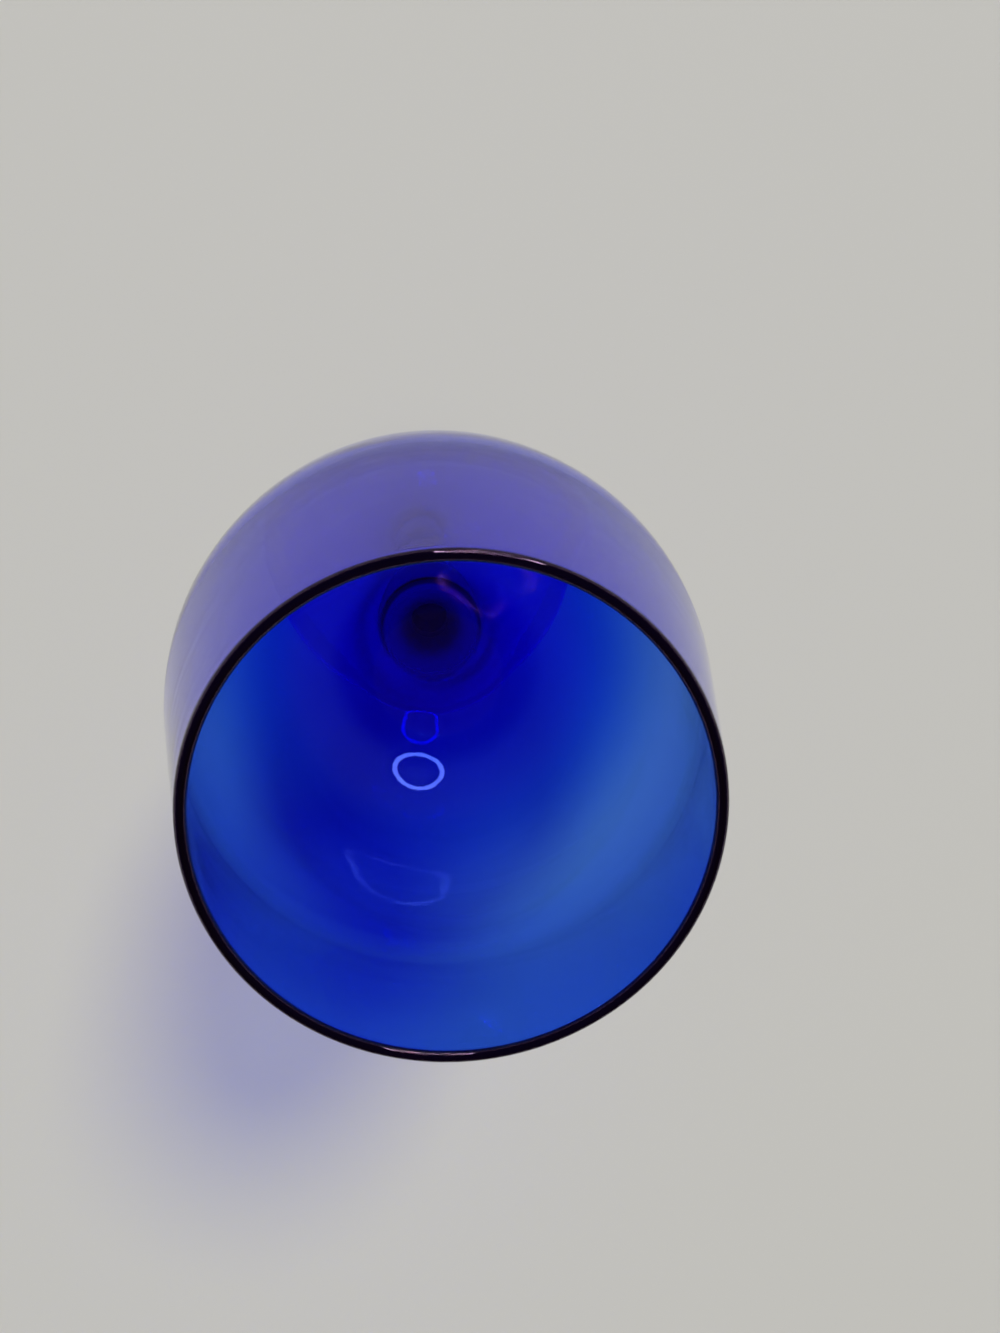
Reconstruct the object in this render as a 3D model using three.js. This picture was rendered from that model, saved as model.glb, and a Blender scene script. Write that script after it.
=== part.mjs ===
// A balloon wine glass of deep cobalt-blue glass, in millimetres, +Z up.
// The origin is the centre of the foot, on the surface that the glass stands on.
// The bowl, the stem and the foot are three pieces of glass, welded hot where
// their flat ends meet. They are separate meshes here and touch face to face.

import * as THREE from 'three';

// Driving dimensions, in millimetres
const GLASS_HEIGHT = 190;          // foot to lip
const RIM_DIAMETER = 76;           // over the outside of the lip
const LIP_THICKNESS = 1.8;         // round bead of the fire-polished lip
const BELLY_DIAMETER = 94.6;       // widest part of the bowl
const BELLY_BELOW_RIM = 53.2;      // from the lip down to the belly
const SHOULDER_RADIUS = 55.8;      // round of the side just above the belly
const BOWL_DEPTH = 105;            // inside, from the lip to the bottom
const WALL = 1.5;                  // wall of the bowl at the belly and the shoulder
const BOTTOM_THICKNESS = 8;        // glass between the inside bottom and the outside
const NECK_SPREAD_DIAMETER = 40;   // where the underside of the bowl starts to draw in
const NECK_LENGTH = 26;            // from the bottom of the bowl down to the upper weld
const UPPER_WELD_DIAMETER = 10;    // flat end shared by bowl and stem
const STEM_DIAMETER = 9;           // drawn rod at its thinnest
const LOWER_WELD_DIAMETER = 13;    // flat end shared by stem and foot
const FOOT_DIAMETER = 70;
const FOOT_HEIGHT = 9;             // from the table up to the lower weld
const FOOT_EDGE = 1.8;             // thickness of the foot at its rounded edge
const FOOT_SWEEP_DIAMETER = 40;    // where the foot starts to rise to the stem
const FOOT_SWEEP_THICKNESS = 3.4;  // height of the foot's top surface at that place
const FOOT_LIFT = 1.2;             // hollow under the middle of the foot
const REST_RING_WIDTH = 4;         // flat ring that the glass stands on

// Fullness of the lower bowl: 2 makes its section an ellipse, and more makes the
// bottom flatter and the side rounder. The inside is fuller than the outside, so the
// glass thickens steadily from the belly down to the bottom.
const OUTSIDE_FULLNESS = 2.15;
const INSIDE_FULLNESS = 2.3;

// Waist of the stem, as a share of the stem's length from its lower end
const WAIST_PLACE = 0.55;

// Fineness of the turned surfaces
const SIDES = 64;
const WIDE_ARC_STEP = THREE.MathUtils.degToRad(7.5);
const EDGE_ARC_STEP = THREE.MathUtils.degToRad(22.5);
const SWEEP_STEPS = 8;

// Heights and radii worked out from the driving dimensions
const bellyRadius = BELLY_DIAMETER / 2;
const bellyHeight = GLASS_HEIGHT - BELLY_BELOW_RIM;
const insideBottomHeight = GLASS_HEIGHT - BOWL_DEPTH;
const outsideBottomHeight = insideBottomHeight - BOTTOM_THICKNESS;
const upperWeldHeight = outsideBottomHeight - NECK_LENGTH;
const upperWeldRadius = UPPER_WELD_DIAMETER / 2;
const lowerWeldRadius = LOWER_WELD_DIAMETER / 2;
const lowerWeldHeight = FOOT_HEIGHT;
const lipRadius = LIP_THICKNESS / 2;
const quarterTurn = Math.PI / 2;

// Every piece of a profile is a list of points: x is the radius and y the height.

function point(radius, height) {
  return new THREE.Vector2(radius, height);
}

// Part of a circle, from one angle to another, with both ends in the list
function arc(centre, radius, from, to, largestStep) {
  const steps = Math.max(1, Math.ceil(Math.abs(to - from) / largestStep));
  const points = [];
  for (let i = 0; i <= steps; i += 1) {
    const angle = from + (to - from) * i / steps;
    points.push(point(
      centre.x + radius * Math.cos(angle),
      centre.y + radius * Math.sin(angle),
    ));
  }
  return points;
}

// A round lower side, from the belly down to the given angle. At a quarter turn it
// reaches the axis, as deep below the belly as it is told.
function fullRound(radius, depth, fullness, downTo) {
  const power = 2 / fullness;
  const steps = Math.ceil(downTo / WIDE_ARC_STEP);
  const points = [];
  for (let i = 0; i <= steps; i += 1) {
    const angle = downTo * i / steps;
    points.push(point(
      radius * Math.cos(angle) ** power,
      bellyHeight - depth * Math.sin(angle) ** power,
    ));
  }
  return points;
}

// A smooth S or hook between two ends, leaving each end along the given handle
function sweep(start, startHandle, endHandle, end) {
  const curve = new THREE.CubicBezierCurve(start, startHandle, endHandle, end);
  return curve.getPoints(SWEEP_STEPS);
}

// Joins lists of points and leaves out a point that repeats the one before it
function chain(...lists) {
  const SAME_PLACE = 1e-6;
  const joined = [];
  for (const next of lists.flat()) {
    const last = joined[joined.length - 1];
    if (!last || last.distanceTo(next) > SAME_PLACE) joined.push(next);
  }
  return joined;
}

// Turns a profile about the Z axis and makes it a named piece of glass
function turned(name, profile, colour) {
  const geometry = new THREE.LatheGeometry(profile, SIDES);
  geometry.rotateX(quarterTurn);
  const material = new THREE.MeshStandardMaterial({ color: colour, roughness: 0.03, metalness: 0 });
  const mesh = new THREE.Mesh(geometry, material);
  mesh.name = name;
  return mesh;
}

// The side of the bowl runs straight between the round of the lip and the round of
// the shoulder and meets both without a corner
const lipCentre = point(RIM_DIAMETER / 2 - lipRadius, GLASS_HEIGHT - lipRadius);
const shoulderCentre = point(bellyRadius - SHOULDER_RADIUS, bellyHeight);

// Lean of that straight side, where it would pass the shoulder's centre at the given
// distance if it were moved to run through the centre of the lip
function sideAngle(distance) {
  const toLip = lipCentre.clone().sub(shoulderCentre);
  return toLip.angle() - Math.acos(distance / toLip.length());
}

// The underside follows the round of the bowl as far as the spread of the neck,
// leaves it without a corner and draws in to the upper weld
function bowlUnderside() {
  const SPREAD_HANDLE = 0.72;  // share of the way in to the weld
  const WELD_HANDLE = 0.75;    // share of the neck's length
  const depth = bellyHeight - outsideBottomHeight;
  const spreadRadius = NECK_SPREAD_DIAMETER / 2;
  const leaveAngle = Math.acos((spreadRadius / bellyRadius) ** (OUTSIDE_FULLNESS / 2));
  const round = fullRound(bellyRadius, depth, OUTSIDE_FULLNESS, leaveAngle).reverse();
  const slope = depth / bellyRadius * Math.tan(leaveAngle) ** (2 / OUTSIDE_FULLNESS - 2);
  const inward = (spreadRadius - upperWeldRadius) * SPREAD_HANDLE;
  const spread = round[0];
  const drawnIn = sweep(
    point(upperWeldRadius, upperWeldHeight),
    point(upperWeldRadius, upperWeldHeight + NECK_LENGTH * WELD_HANDLE),
    point(spread.x - inward, spread.y - inward * slope),
    spread,
  );
  return chain([point(0, upperWeldHeight)], drawnIn, round);
}

function bowl() {
  const insideShoulder = SHOULDER_RADIUS - WALL;
  const outside = sideAngle(SHOULDER_RADIUS - lipRadius);
  const inside = sideAngle(insideShoulder + lipRadius);
  const insideDepth = bellyHeight - insideBottomHeight;
  const profile = chain(
    bowlUnderside(),
    arc(shoulderCentre, SHOULDER_RADIUS, 0, outside, WIDE_ARC_STEP),
    arc(lipCentre, lipRadius, outside, quarterTurn, EDGE_ARC_STEP),
    arc(lipCentre, lipRadius, quarterTurn, inside + Math.PI, EDGE_ARC_STEP),
    arc(shoulderCentre, insideShoulder, inside, 0, WIDE_ARC_STEP),
    fullRound(bellyRadius - WALL, insideDepth, INSIDE_FULLNESS, quarterTurn),
  );
  return turned('bowl', profile, 0x1420a0);
}

// A drawn rod, thinnest a little above its middle, that spreads at both ends
function stem() {
  const FOOT_END = 0.12;   // where each curve turns, as shares of the stem's length
  const AT_WAIST = 0.25;
  const BOWL_END = 0.16;
  const length = upperWeldHeight - lowerWeldHeight;
  const thinRadius = STEM_DIAMETER / 2;
  const waistHeight = lowerWeldHeight + length * WAIST_PLACE;
  const waist = point(thinRadius, waistHeight);
  const lower = sweep(
    point(lowerWeldRadius, lowerWeldHeight),
    point(thinRadius, lowerWeldHeight + length * FOOT_END),
    point(thinRadius, waistHeight - length * AT_WAIST),
    waist,
  );
  const upper = sweep(
    waist,
    point(thinRadius, waistHeight + length * AT_WAIST),
    point(upperWeldRadius, upperWeldHeight - length * BOWL_END),
    point(upperWeldRadius, upperWeldHeight),
  );
  const profile = chain([point(0, lowerWeldHeight)], lower, upper, [point(0, upperWeldHeight)]);
  return turned('stem', profile, 0x0c1270);
}

// The hollow under the foot, from the axis out to the inside of the rest ring
function footHollow(ringInside) {
  const FLAT_SHARE = 0.5;   // the hollow stays level this far out
  const TURN_SHARE = 0.7;   // and heads for the ring from here
  const TURN_LIFT = 0.3;
  return sweep(
    point(0, FOOT_LIFT),
    point(ringInside * FLAT_SHARE, FOOT_LIFT),
    point(ringInside * TURN_SHARE, FOOT_LIFT * TURN_LIFT),
    point(ringInside, 0),
  );
}

// The top of the foot, from the slightly sloping plate up to the lower weld
function footRise(edgeTop) {
  const PLATE_HANDLE = 0.6;   // share of the way in to the weld
  const WELD_SPREAD = 0.1;    // the rise still leans out by this share at the weld
  const WELD_DROP = 0.6;      // share of the rise
  const start = point(FOOT_SWEEP_DIAMETER / 2, FOOT_SWEEP_THICKNESS);
  const slope = (start.y - edgeTop.y) / (edgeTop.x - start.x);
  const reach = start.x - lowerWeldRadius;
  const rise = lowerWeldHeight - FOOT_SWEEP_THICKNESS;
  return sweep(
    start,
    point(start.x - reach * PLATE_HANDLE, start.y + reach * PLATE_HANDLE * slope),
    point(lowerWeldRadius + reach * WELD_SPREAD, lowerWeldHeight - rise * WELD_DROP),
    point(lowerWeldRadius, lowerWeldHeight),
  );
}

// A disc with a rounded edge, a flat ring to stand on, a shallow hollow under the
// middle and a top that sweeps up to the lower weld
function foot() {
  const edgeRound = FOOT_EDGE / 2;
  const edgeCentre = point(FOOT_DIAMETER / 2 - edgeRound, edgeRound);
  const profile = chain(
    footHollow(edgeCentre.x - REST_RING_WIDTH),
    arc(edgeCentre, edgeRound, -quarterTurn, quarterTurn, EDGE_ARC_STEP),
    footRise(point(edgeCentre.x, FOOT_EDGE)),
    [point(0, lowerWeldHeight)],
  );
  return turned('foot', profile, 0x101a8c);
}

const glass = new THREE.Group();
glass.name = 'balloon_wine_glass';
glass.add(bowl(), stem(), foot());

export default glass;
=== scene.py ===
"""Looks of a balloon wine glass of cobalt-blue glass, in metres, +Z up."""

import math

import bmesh
import bpy
from mathutils import Matrix, Vector


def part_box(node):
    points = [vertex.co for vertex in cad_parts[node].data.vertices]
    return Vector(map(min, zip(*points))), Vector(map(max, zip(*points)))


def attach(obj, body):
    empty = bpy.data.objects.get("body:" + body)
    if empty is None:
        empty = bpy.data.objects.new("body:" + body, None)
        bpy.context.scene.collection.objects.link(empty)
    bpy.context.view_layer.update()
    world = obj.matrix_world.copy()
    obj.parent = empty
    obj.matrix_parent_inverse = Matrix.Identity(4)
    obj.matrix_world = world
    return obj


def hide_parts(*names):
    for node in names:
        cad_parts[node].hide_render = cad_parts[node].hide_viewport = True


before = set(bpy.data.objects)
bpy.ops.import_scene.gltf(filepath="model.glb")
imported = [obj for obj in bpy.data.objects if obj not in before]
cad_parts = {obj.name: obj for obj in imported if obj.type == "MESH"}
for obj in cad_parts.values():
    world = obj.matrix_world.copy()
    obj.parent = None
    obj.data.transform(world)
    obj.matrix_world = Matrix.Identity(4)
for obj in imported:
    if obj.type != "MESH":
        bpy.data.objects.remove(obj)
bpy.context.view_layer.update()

MM = 0.001
QUARTER_TURN = math.pi / 2

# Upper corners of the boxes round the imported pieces
_, BOWL_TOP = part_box("bowl")
_, STEM_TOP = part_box("stem")
_, FOOT_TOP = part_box("foot")

# Bowl
RIM_HEIGHT = BOWL_TOP[2]
RIM_RADIUS = 38 * MM
LIP_RADIUS = 0.9 * MM
LIP_CENTRE = (RIM_RADIUS - LIP_RADIUS, RIM_HEIGHT - LIP_RADIUS)
BELLY_RADIUS = BOWL_TOP[0]
BELLY_HEIGHT = RIM_HEIGHT - 53.2 * MM
SHOULDER_RADIUS = 55.8 * MM
SHOULDER_CENTRE = (BELLY_RADIUS - SHOULDER_RADIUS, BELLY_HEIGHT)
INSIDE_BOTTOM = RIM_HEIGHT - 105 * MM
OUTSIDE_BOTTOM = INSIDE_BOTTOM - 8 * MM
WALL = 1.5 * MM

# Fullness of the lower bowl: 2 makes its section an ellipse, and more a flatter bottom
OUTSIDE_FULLNESS = 2.15
INSIDE_FULLNESS = 2.3

# Neck under the bowl. Its curve leaves the weld over this share of the neck's length, and
# the bowl over this share of the way in.
NECK_SPREAD_RADIUS = 20 * MM
NECK_HANDLES = (0.75, 0.72)

# Blown glass is a little heavier on one side: how far the inside stands off centre, and
# how far below the lip it has come to stand so
BORE_SHIFT = Vector((-0.2, -0.15, 0)) * MM
BORE_FADE = 35 * MM

# Stem, thinnest a little above its middle. Its curves leave the foot, the waist and the
# bowl over these shares of its length.
UPPER_WELD_HEIGHT = STEM_TOP[2]
UPPER_WELD_RADIUS = 5 * MM
LOWER_WELD_HEIGHT = FOOT_TOP[2]
LOWER_WELD_RADIUS = STEM_TOP[0]
STEM_RADIUS = 4.5 * MM
WAIST_PLACE = 0.55
STEM_HANDLES = (0.12, 0.25, 0.16)

# Foot. The curve of its top has two handles: along the plate, as a share of the way in,
# and at the weld, as a share of the way out and of the way down.
FOOT_RADIUS = FOOT_TOP[0]
FOOT_EDGE = 1.8 * MM
FOOT_SWEEP_RADIUS = 20 * MM
FOOT_SWEEP_THICKNESS = 3.4 * MM
FOOT_HANDLES = (0.6, 0.1, 0.6)

# Hollow under the foot, inside the ring that it rests on. It stays level out to the first
# share, and heads for the ring from the second at the third share of its lift.
FOOT_LIFT = 1.2 * MM
REST_RING_WIDTH = 4 * MM
HOLLOW_HANDLES = (0.5, 0.7, 0.3)

# Welds between the pieces: height and radius
WELD_MARK = "weld"
WELD_GAP = 0.02 * MM
WELDS = ((UPPER_WELD_HEIGHT, UPPER_WELD_RADIUS), (LOWER_WELD_HEIGHT, LOWER_WELD_RADIUS))

# The neck is drawn out with tools, which leave its outside softer: how far from the axis
# and how high this reaches, and over what length it fades out down the stem
TOOLED_MARK = "tooled"
TOOLED_RADIUS = 15 * MM
TOOLED_TOP = OUTSIDE_BOTTOM + 3 * MM
TOOLED_FADE = 20 * MM

# Fineness of the turned surfaces
TURN_STEPS = 180
LONGEST_STEP = 1.0 * MM
SHORTEST_STEP = 0.12 * MM
SAME_PLACE = 0.0001 * MM
FINE_CUTS = 60
ROUND_CUTS = 120
LIP_CUTS = 12
EDGE_CUTS = 20
CREASE_ANGLE = math.radians(40)

# Cobalt glass. Each metre takes away red, green and blue by the density times what the
# colour lacks of 1, and the light that falls through into the shadow is paler.
GLASS_DENSITY = 1500.0
GLASS_COLOUR = (0.0, 0.46, 0.977, 1)
SHADOW_COLOUR = (0.9, 0.85, 0.94, 1)
GLASS_IOR = 1.5
FUSED_IOR = 1.0
GLOSS_TINT = (1.0, 0.6, 1.0, 1)

# Painted glow: all the glass gives off a faint violet light, in place of the deep red and violet
# that cobalt glass lets through however thick it is
PAINTED_VIOLET_GLOW_COLOUR = (1.0, 0.1, 1.0, 1)
PAINTED_VIOLET_GLOW = 0.001

# Swirls that turning and blowing leave in the glass
SWIRL_SCALE = 40.0
SWIRL_STRETCH = (1.0, 1.0, 2.2)
SWIRL_DETAIL = 1.5
SWIRL_ROUGHNESS = 0.4
SWIRL_DISTORTION = 0.6
SWIRL_RELIEF = 0.03 * MM
SWIRL_DARK = (0.90, 0.92, 1.0, 1)
SWIRL_LIGHT = (1.0, 1.0, 1.0, 1)

# Roughness of the surface: from new to worn, in patches, and where it is tooled or fused
PATCH_SCALE = 60.0
PATCH_DETAIL = 3.0
PATCH_ROUGHNESS = 0.6
WORN_ROUGHNESS = (0.0, 0.035)
TOOLED_ROUGHNESS = 0.38
FUSED_ROUGHNESS = 0.0

# Table: from its middle to each side, and its paint
FLOOR_REACH = 30.0
FLOOR_COLOUR = (0.62, 0.61, 0.57, 1)
FLOOR_ROUGHNESS = 0.8

# Ring lamp beside the viewer
RING_AIM_HEIGHT = 110 * MM
RING_DIRECTION = Vector((-0.18, -0.77, 0.61))
RING_DISTANCE = 450 * MM
RING_RADIUS = 90 * MM
RING_HALF_WIDTH = 9 * MM
RING_STEPS = 96
RING_GLOW = 25.0

# Soft lamps: name, direction from the glass, width as an angle and strength
LAMP_DISTANCE = 2.0
LAMPS = (
    ("ceiling_lamp", (-0.04, -0.54, 1.0), math.radians(9), 1.58),
    ("side_lamp", (-0.32, -0.92, 1.0), math.radians(14), 1.6),
)

# Pale walls all round and a dim ceiling, and how bright each is. The walls end low for
# light and reflections and high for what is seen past or through the glass: the sine of
# the angle above the horizon where they start to fade, and where the ceiling starts.
LIT_WALL = (0.12, 0.42)
SEEN_WALL = (0.58, 0.8)
WALL_GLOW = 0.65
CEILING_GLOW = 0.03
ROOM_COLOUR = (0.97, 0.98, 1.0, 1)

# Camera, measured from the middle of the rim
CAMERA_FROM_RIM = Vector((6.7, -64.4, 150.45)) * MM
AIM_FROM_RIM = Vector((-5.94, -1.75, 0)) * MM
CAMERA_ROLL = math.radians(167.62)
NEAREST_SEEN = 10 * MM

# Picture in pixels: its height, the lens and the row of the lens's axis. The sensor is in
# millimetres.
FRAME_HEIGHT = 1333
FOCAL_PIXELS = 1200
OPTICAL_CENTRE_ROW = 816
SENSOR_HEIGHT = 36.0


def arc(centre, radius, start, end, cuts=FINE_CUTS):
    """Points (radius, height) along part of a circle."""
    points = []
    for cut in range(cuts + 1):
        angle = start + (end - start) * cut / cuts
        across = centre[0] + radius * math.cos(angle)
        points.append((across, centre[1] + radius * math.sin(angle)))
    return points


def sweep(*knots):
    """Points along a smooth curve: start, its handle, the end's handle and end."""
    points = []
    for cut in range(FINE_CUTS + 1):
        t = cut / FINE_CUTS
        shares = ((1 - t) ** 3, 3 * (1 - t) ** 2 * t, 3 * (1 - t) * t * t, t ** 3)
        point = (
            sum(share * knot[axis] for share, knot in zip(shares, knots)) for axis in (0, 1)
        )
        points.append(tuple(point))
    return points


def full_round(radius, depth, fullness, down_to=QUARTER_TURN):
    """The round lower side of the bowl, from the belly down. A quarter turn ends on the axis."""
    power = 2 / fullness
    points = []
    for cut in range(ROUND_CUTS + 1):
        angle = down_to * cut / ROUND_CUTS
        across = max(0.0, math.cos(angle)) ** power
        points.append((radius * across, BELLY_HEIGHT - depth * math.sin(angle) ** power))
    if down_to == QUARTER_TURN:
        points[-1] = (0.0, points[-1][1])
    return points


def evened(points):
    """The same outline with no step too long to shade well and none too short."""
    kept = [points[0]]
    for radius, height in points[1:]:
        last_radius, last_height = kept[-1]
        length = math.dist(kept[-1], (radius, height))
        if length < SHORTEST_STEP and radius > 0:
            continue
        parts = max(1, math.ceil(length / LONGEST_STEP))
        for part in range(1, parts + 1):
            share = part / parts
            kept.append((
                last_radius + (radius - last_radius) * share,
                last_height + (height - last_height) * share,
            ))
    return kept


def side_lean(distance):
    """Lean of the straight side, which is that far from the shoulder's centre at the lip."""
    across = LIP_CENTRE[0] - SHOULDER_CENTRE[0]
    upward = LIP_CENTRE[1] - SHOULDER_CENTRE[1]
    return math.atan2(upward, across) - math.acos(distance / math.hypot(across, upward))


def bowl_underside():
    """From the upper weld up the neck and round to the belly."""
    at_weld, at_bowl = NECK_HANDLES
    depth = BELLY_HEIGHT - OUTSIDE_BOTTOM
    leave = math.acos((NECK_SPREAD_RADIUS / BELLY_RADIUS) ** (OUTSIDE_FULLNESS / 2))
    round_side = full_round(BELLY_RADIUS, depth, OUTSIDE_FULLNESS, leave)[::-1]
    slope = depth / BELLY_RADIUS * math.tan(leave) ** (2 / OUTSIDE_FULLNESS - 2)
    inward = (NECK_SPREAD_RADIUS - UPPER_WELD_RADIUS) * at_bowl
    neck_length = OUTSIDE_BOTTOM - UPPER_WELD_HEIGHT
    spread = round_side[0]
    drawn_in = sweep(
        (UPPER_WELD_RADIUS, UPPER_WELD_HEIGHT),
        (UPPER_WELD_RADIUS, UPPER_WELD_HEIGHT + neck_length * at_weld),
        (spread[0] - inward, spread[1] - inward * slope),
        spread,
    )
    return [(0.0, UPPER_WELD_HEIGHT)] + drawn_in + round_side[1:]


def bowl_outside():
    """Underside, side and the outer half of the round lip."""
    lean = side_lean(SHOULDER_RADIUS - LIP_RADIUS)
    side = arc(SHOULDER_CENTRE, SHOULDER_RADIUS, 0, lean)[1:]
    return bowl_underside() + side + arc(LIP_CENTRE, LIP_RADIUS, lean, QUARTER_TURN, LIP_CUTS)


def bowl_inside():
    """The inner half of the lip, the inside of the side and the inside bottom."""
    lean = side_lean(SHOULDER_RADIUS - WALL + LIP_RADIUS)
    lip = arc(LIP_CENTRE, LIP_RADIUS, QUARTER_TURN, lean + math.pi, LIP_CUTS)[1:]
    side = arc(SHOULDER_CENTRE, SHOULDER_RADIUS - WALL, lean, 0)
    bottom = full_round(BELLY_RADIUS - WALL, BELLY_HEIGHT - INSIDE_BOTTOM, INSIDE_FULLNESS)
    return lip + side + bottom[1:]


def stem_outline():
    """A drawn rod, whose flat ends stay a hair clear of the bowl and the foot."""
    foot_end, at_waist, bowl_end = STEM_HANDLES
    bottom, top = LOWER_WELD_HEIGHT + WELD_GAP, UPPER_WELD_HEIGHT - WELD_GAP
    length = top - bottom
    waist = (STEM_RADIUS, bottom + length * WAIST_PLACE)
    lower = sweep(
        (LOWER_WELD_RADIUS, bottom),
        (STEM_RADIUS, bottom + length * foot_end),
        (STEM_RADIUS, waist[1] - length * at_waist),
        waist,
    )
    upper = sweep(
        waist,
        (STEM_RADIUS, waist[1] + length * at_waist),
        (UPPER_WELD_RADIUS, top - length * bowl_end),
        (UPPER_WELD_RADIUS, top),
    )
    return [(0.0, bottom)] + lower + upper[1:] + [(0.0, top)]


def foot_hollow(ring_inside):
    """The hollow under the foot, from the axis out to the rest ring."""
    level, turning, lift = HOLLOW_HANDLES
    return sweep(
        (0.0, FOOT_LIFT),
        (ring_inside * level, FOOT_LIFT),
        (ring_inside * turning, FOOT_LIFT * lift),
        (ring_inside, 0.0),
    )


def foot_rise(edge_radius):
    """The top of the foot, from the gently sloping plate up to the lower weld."""
    along_plate, at_weld, weld_drop = FOOT_HANDLES
    slope = (FOOT_SWEEP_THICKNESS - FOOT_EDGE) / (edge_radius - FOOT_SWEEP_RADIUS)
    reach = FOOT_SWEEP_RADIUS - LOWER_WELD_RADIUS
    rise = LOWER_WELD_HEIGHT - FOOT_SWEEP_THICKNESS
    inward = reach * along_plate
    return sweep(
        (FOOT_SWEEP_RADIUS, FOOT_SWEEP_THICKNESS),
        (FOOT_SWEEP_RADIUS - inward, FOOT_SWEEP_THICKNESS + inward * slope),
        (LOWER_WELD_RADIUS + reach * at_weld, LOWER_WELD_HEIGHT - rise * weld_drop),
        (LOWER_WELD_RADIUS, LOWER_WELD_HEIGHT),
    )


def foot_outline():
    """Hollow, rest ring, rounded edge and top."""
    edge_round = FOOT_EDGE / 2
    edge = (FOOT_RADIUS - edge_round, edge_round)
    rounded_edge = arc(edge, edge_round, -QUARTER_TURN, QUARTER_TURN, EDGE_CUTS)
    underside = foot_hollow(edge[0] - REST_RING_WIDTH)
    return underside + rounded_edge + foot_rise(edge[0]) + [(0.0, LOWER_WELD_HEIGHT)]


def smooth_share(value):
    """0 to 1 without a corner at either end."""
    share = min(1.0, max(0.0, value))
    return share * share * (3 - 2 * share)


def shift_bore(shape):
    """Moves the inside of the bowl off centre, but not at the lip."""
    shape.normal_update()
    for vert in shape.verts:
        outward = vert.normal.x * vert.co.x + vert.normal.y * vert.co.y
        on_axis = vert.co.xy.length < SHORTEST_STEP / 2
        if outward < 0 or (on_axis and vert.normal.z > 0):
            vert.co += BORE_SHIFT * smooth_share((RIM_HEIGHT - vert.co.z) / BORE_FADE)


def mark_welds(shape):
    """Marks the flat ends where two pieces are fused, so that light goes straight through."""
    mark = shape.faces.layers.float.new(WELD_MARK)
    for face in shape.faces:
        heights = [vert.co.z for vert in face.verts]
        for weld_height, weld_radius in WELDS:
            level = all(abs(height - weld_height) < 2 * WELD_GAP for height in heights)
            if level and face.calc_center_median().xy.length < weld_radius:
                face[mark] = 1.0


def mark_tooled_neck(shape):
    """Marks the outside of the neck, fading out away from the axis and down the stem."""
    mark = shape.verts.layers.float.new(TOOLED_MARK)
    for vert in shape.verts:
        radius = vert.co.xy.length
        if vert.co.z < TOOLED_TOP and radius > SHORTEST_STEP:
            near_axis = smooth_share(2 - 2 * radius / TOOLED_RADIUS)
            near_neck = smooth_share(1 + (vert.co.z - UPPER_WELD_HEIGHT) / TOOLED_FADE)
            vert[mark] = near_axis * near_neck


def scene_object(name, data):
    """A new object in the scene."""
    thing = bpy.data.objects.new(name, data)
    bpy.context.scene.collection.objects.link(thing)
    return thing


def shape_object(name, shape, material):
    """A finished shape as an object of one material."""
    mesh = bpy.data.meshes.new(name)
    shape.to_mesh(mesh)
    shape.free()
    mesh.materials.append(material)
    return scene_object(name, mesh)


def spun(name, outline, material, reshape=None):
    """A closed piece of glass, turned about the Z axis from its outline."""
    shape = bmesh.new()
    points = [shape.verts.new((radius, 0, height)) for radius, height in evened(outline)]
    edges = [shape.edges.new(pair) for pair in zip(points, points[1:])]
    bmesh.ops.spin(
        shape, geom=points + edges, cent=(0, 0, 0), axis=(0, 0, 1),
        angle=math.tau, steps=TURN_STEPS, use_merge=True,
    )
    bmesh.ops.remove_doubles(shape, verts=shape.verts, dist=SAME_PLACE)
    bmesh.ops.recalc_face_normals(shape, faces=shape.faces)
    mark_welds(shape)
    mark_tooled_neck(shape)
    if reshape:
        reshape(shape)
    for face in shape.faces:
        face.smooth = True
    piece = shape_object(name, shape, material)
    piece.data.set_sharp_from_angle(angle=CREASE_ANGLE)
    return piece


def new_material(name):
    """An empty material and its node tree."""
    material = bpy.data.materials.new(name)
    material.use_nodes = True
    material.node_tree.nodes.clear()
    return material, material.node_tree


def add(tree, kind, **values):
    """A new node with values put on its sockets by name."""
    node = tree.nodes.new(kind)
    for socket, value in values.items():
        node.inputs[socket.replace("_", " ")].default_value = value
    return node


def colour_socket(sockets, name):
    """The socket for colours, as a mixing node has one of each name for every kind of value."""
    return next(socket for socket in sockets if socket.name == name and socket.type == "RGBA")


def spread(tree, share, low, high):
    """Turns 0 to 1 into low to high, where low is a number or a socket."""
    change = add(tree, "ShaderNodeMapRange", To_Max=high)
    tree.links.new(share, change.inputs["Value"])
    if isinstance(low, float):
        change.inputs["To Min"].default_value = low
    else:
        tree.links.new(low, change.inputs["To Min"])
    return change.outputs["Result"]


def marked(tree, name):
    """How strongly each place is marked, 0 to 1."""
    mark = add(tree, "ShaderNodeAttribute")
    mark.attribute_name = name
    return mark.outputs["Fac"]


def swirls(tree):
    """Faint level bands and waves that turning and blowing leave in glass, 0 to 1."""
    place = add(tree, "ShaderNodeTexCoord")
    flatten = add(tree, "ShaderNodeMapping", Scale=SWIRL_STRETCH)
    waves = add(
        tree, "ShaderNodeTexNoise", Scale=SWIRL_SCALE, Detail=SWIRL_DETAIL,
        Roughness=SWIRL_ROUGHNESS, Distortion=SWIRL_DISTORTION,
    )
    tree.links.new(place.outputs["Object"], flatten.inputs["Vector"])
    tree.links.new(flatten.outputs["Vector"], waves.inputs["Vector"])
    return waves.outputs["Fac"]


def handling(tree):
    """Soft patches where the polish is a little duller from use, 0 to 1."""
    place = add(tree, "ShaderNodeTexCoord")
    patches = add(
        tree, "ShaderNodeTexNoise", Scale=PATCH_SCALE, Detail=PATCH_DETAIL,
        Roughness=PATCH_ROUGHNESS,
    )
    tree.links.new(place.outputs["Object"], patches.inputs["Vector"])
    return patches.outputs["Fac"]


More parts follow.
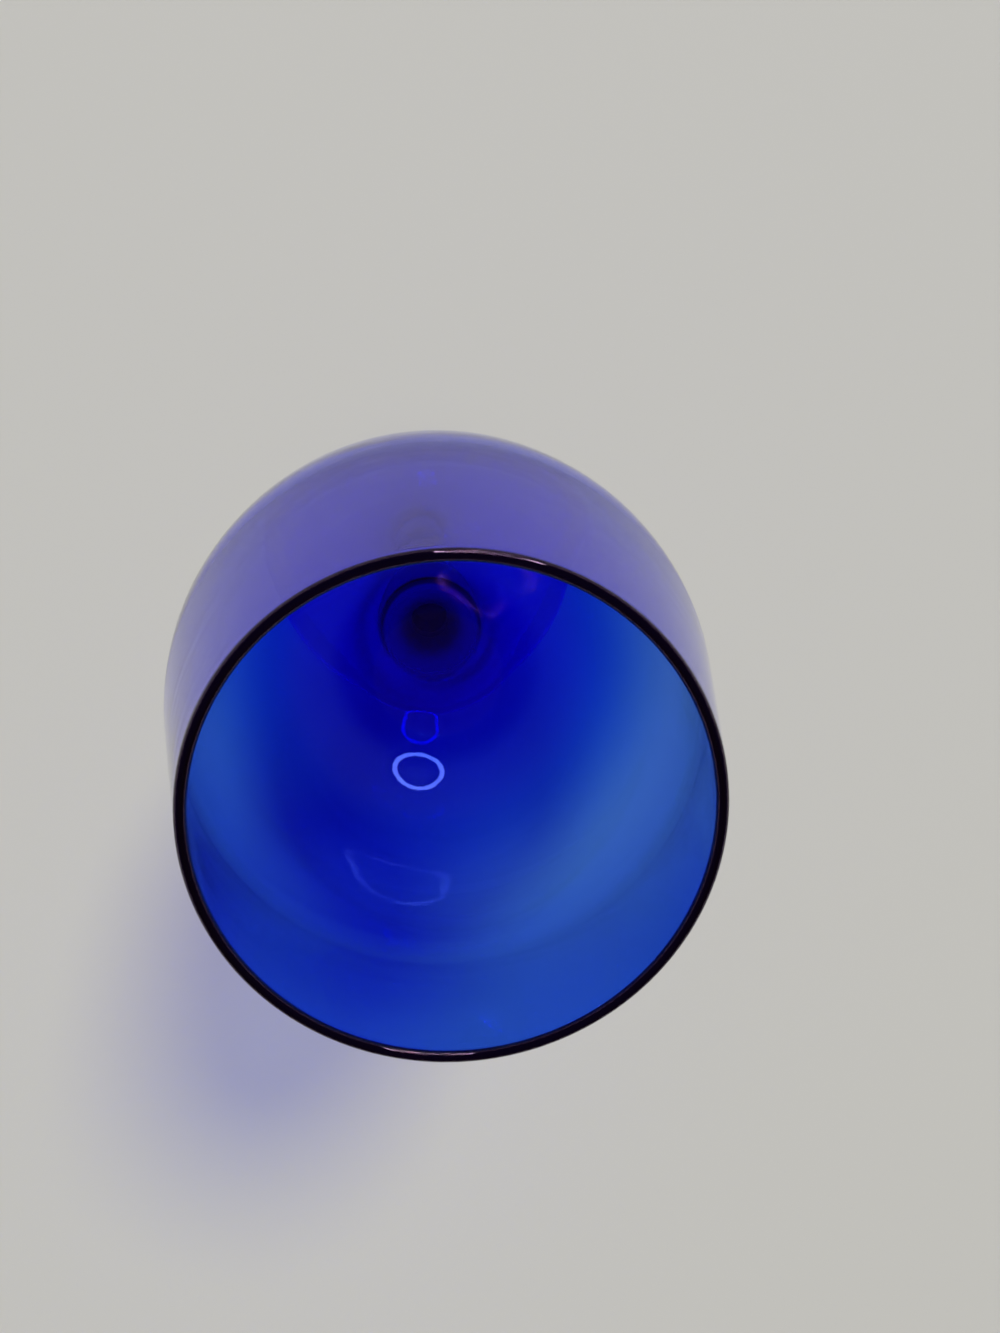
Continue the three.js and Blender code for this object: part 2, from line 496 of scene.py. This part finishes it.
def glass_surface(tree):
    """Polished glass with faint swirls and a painted violet glow, softer at the neck and with no
    skin at the welds.
    """
    links = tree.links
    # The emission is a painted violet glow on the glass, not light passing through it
    glass = add(
        tree, "ShaderNodeBsdfPrincipled", Transmission_Weight=1.0, Specular_Tint=GLOSS_TINT,
        Emission_Color=PAINTED_VIOLET_GLOW_COLOUR, Emission_Strength=PAINTED_VIOLET_GLOW,
    )
    waves = swirls(tree)
    tint = add(tree, "ShaderNodeMix")
    tint.data_type = "RGBA"
    colour_socket(tint.inputs, "A").default_value = SWIRL_DARK
    colour_socket(tint.inputs, "B").default_value = SWIRL_LIGHT
    links.new(waves, tint.inputs["Factor"])
    links.new(colour_socket(tint.outputs, "Result"), glass.inputs["Base Color"])

    relief = add(tree, "ShaderNodeBump", Strength=1.0, Distance=SWIRL_RELIEF)
    links.new(waves, relief.inputs["Height"])
    links.new(relief.outputs["Normal"], glass.inputs["Normal"])

    fused = marked(tree, WELD_MARK)
    links.new(spread(tree, fused, GLASS_IOR, FUSED_IOR), glass.inputs["IOR"])
    worn = spread(tree, handling(tree), *WORN_ROUGHNESS)
    tooled = spread(tree, marked(tree, TOOLED_MARK), worn, TOOLED_ROUGHNESS)
    links.new(spread(tree, fused, tooled, FUSED_ROUGHNESS), glass.inputs["Roughness"])
    return glass.outputs["BSDF"]


def cobalt_glass():
    """Clear glass, blue all through, that lets pale violet light fall into its shadow."""
    material, tree = new_material("cobalt_glass")
    links = tree.links
    inside = add(tree, "ShaderNodeVolumeAbsorption", Color=GLASS_COLOUR, Density=GLASS_DENSITY)
    lets_light_by = add(tree, "ShaderNodeBsdfTransparent", Color=SHADOW_COLOUR)
    path = add(tree, "ShaderNodeLightPath")
    mix = add(tree, "ShaderNodeMixShader")
    output = add(tree, "ShaderNodeOutputMaterial")
    links.new(path.outputs["Is Shadow Ray"], mix.inputs["Fac"])
    links.new(glass_surface(tree), mix.inputs[1])
    links.new(lets_light_by.outputs["BSDF"], mix.inputs[2])
    links.new(mix.outputs["Shader"], output.inputs["Surface"])
    links.new(inside.outputs["Volume"], output.inputs["Volume"])
    return material


def glass_pieces():
    """Bowl, stem and foot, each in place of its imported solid."""
    finish = cobalt_glass()
    outlines = {
        "bowl": bowl_outside() + bowl_inside(),
        "stem": stem_outline(),
        "foot": foot_outline(),
    }
    for node, outline in outlines.items():
        piece = spun(node + "_glass", outline, finish, shift_bore if node == "bowl" else None)
        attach(piece, "root")
        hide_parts(node)


def pale_floor():
    """A wide, pale table under the glass."""
    material, tree = new_material("pale_paint")
    paint = add(
        tree, "ShaderNodeBsdfPrincipled", Base_Color=FLOOR_COLOUR, Roughness=FLOOR_ROUGHNESS,
    )
    output = add(tree, "ShaderNodeOutputMaterial")
    tree.links.new(paint.outputs["BSDF"], output.inputs["Surface"])
    shape = bmesh.new()
    bmesh.ops.create_grid(shape, x_segments=1, y_segments=1, size=FLOOR_REACH)
    shape_object("pale_floor", shape, material)


def ring_lamp():
    """A thin ring of light, which the glass reflects as a small loop."""
    material, tree = new_material("lamp_light")
    glow = add(tree, "ShaderNodeEmission", Strength=RING_GLOW)
    output = add(tree, "ShaderNodeOutputMaterial")
    tree.links.new(glow.outputs["Emission"], output.inputs["Surface"])
    aim = Vector((0, 0, RING_AIM_HEIGHT))
    place = aim + RING_DIRECTION.normalized() * RING_DISTANCE
    turn = (aim - place).to_track_quat("-Z", "Y").to_matrix().to_4x4()
    shape = bmesh.new()
    ends = [shape.verts.new((RING_RADIUS + side * RING_HALF_WIDTH, 0, 0)) for side in (-1, 1)]
    edge = shape.edges.new(ends)
    bmesh.ops.spin(
        shape, geom=ends + [edge], cent=(0, 0, 0), axis=(0, 0, 1),
        angle=math.tau, steps=RING_STEPS, use_merge=True,
    )
    bmesh.ops.transform(shape, matrix=Matrix.Translation(place) @ turn, verts=shape.verts)
    lamp = shape_object("ring_lamp", shape, material)
    lamp.visible_camera = False
    lamp.visible_diffuse = False
    lamp.visible_shadow = False


def soft_lamp(name, towards, width, strength):
    """A far, soft lamp that lights and shades, but is not seen in the glass or through it."""
    light = bpy.data.lights.new(name, "SUN")
    light.angle = width
    light.energy = strength
    lamp = scene_object(name, light)
    lamp.rotation_mode = "QUATERNION"
    lamp.location = Vector(towards) * LAMP_DISTANCE
    lamp.rotation_quaternion = (-Vector(towards)).to_track_quat("-Z", "Y")
    lamp.visible_camera = False
    lamp.visible_glossy = False
    lamp.visible_transmission = False


def room_glow(tree, upward, fade_start, fade_end):
    """How bright the room is from its walls up to its ceiling."""
    fade = add(
        tree, "ShaderNodeMapRange", From_Min=fade_start, From_Max=fade_end,
        To_Min=WALL_GLOW, To_Max=CEILING_GLOW,
    )
    fade.interpolation_type = "SMOOTHSTEP"
    tree.links.new(upward, fade.inputs["Value"])
    return fade.outputs["Result"]


def soft_surroundings():
    """Pale walls that fade to a dim ceiling above the viewer."""
    world = bpy.data.worlds.new("soft_room")
    world.use_nodes = True
    bpy.context.scene.world = world
    tree = world.node_tree
    links = tree.links
    place = add(tree, "ShaderNodeTexCoord")
    parts = add(tree, "ShaderNodeSeparateXYZ")
    links.new(place.outputs["Generated"], parts.inputs["Vector"])
    upward = parts.outputs["Z"]

    path = add(tree, "ShaderNodeLightPath")
    seen = add(tree, "ShaderNodeMath")
    seen.operation = "MAXIMUM"
    links.new(path.outputs["Is Camera Ray"], seen.inputs[0])
    links.new(path.outputs["Is Transmission Ray"], seen.inputs[1])
    glow = add(tree, "ShaderNodeMapRange")
    links.new(seen.outputs["Value"], glow.inputs["Value"])
    links.new(room_glow(tree, upward, *LIT_WALL), glow.inputs["To Min"])
    links.new(room_glow(tree, upward, *SEEN_WALL), glow.inputs["To Max"])
    backdrop = tree.nodes["Background"]
    backdrop.inputs["Color"].default_value = ROOM_COLOUR
    links.new(glow.outputs["Result"], backdrop.inputs["Strength"])


def camera():
    """A camera close above the rim that looks down into the bowl, nearly upside down."""
    view = bpy.data.cameras.new("view")
    view.sensor_fit = "VERTICAL"
    view.sensor_height = SENSOR_HEIGHT
    view.lens = SENSOR_HEIGHT * FOCAL_PIXELS / FRAME_HEIGHT
    view.shift_y = (OPTICAL_CENTRE_ROW - FRAME_HEIGHT / 2) / FRAME_HEIGHT
    view.clip_start = NEAREST_SEEN
    rim_middle = Vector((0, 0, RIM_HEIGHT))
    place = rim_middle + CAMERA_FROM_RIM
    aim = rim_middle + AIM_FROM_RIM
    looking = (aim - place).to_track_quat("-Z", "Y").to_matrix().to_4x4()
    roll = Matrix.Rotation(CAMERA_ROLL, 4, "Z")
    seat = scene_object("view", view)
    seat.matrix_world = Matrix.Translation(place) @ looking @ roll
    bpy.context.scene.camera = seat


camera()
glass_pieces()
pale_floor()
ring_lamp()
for lamp in LAMPS:
    soft_lamp(*lamp)
soft_surroundings()
bpy.context.scene.view_settings.view_transform = "Standard"
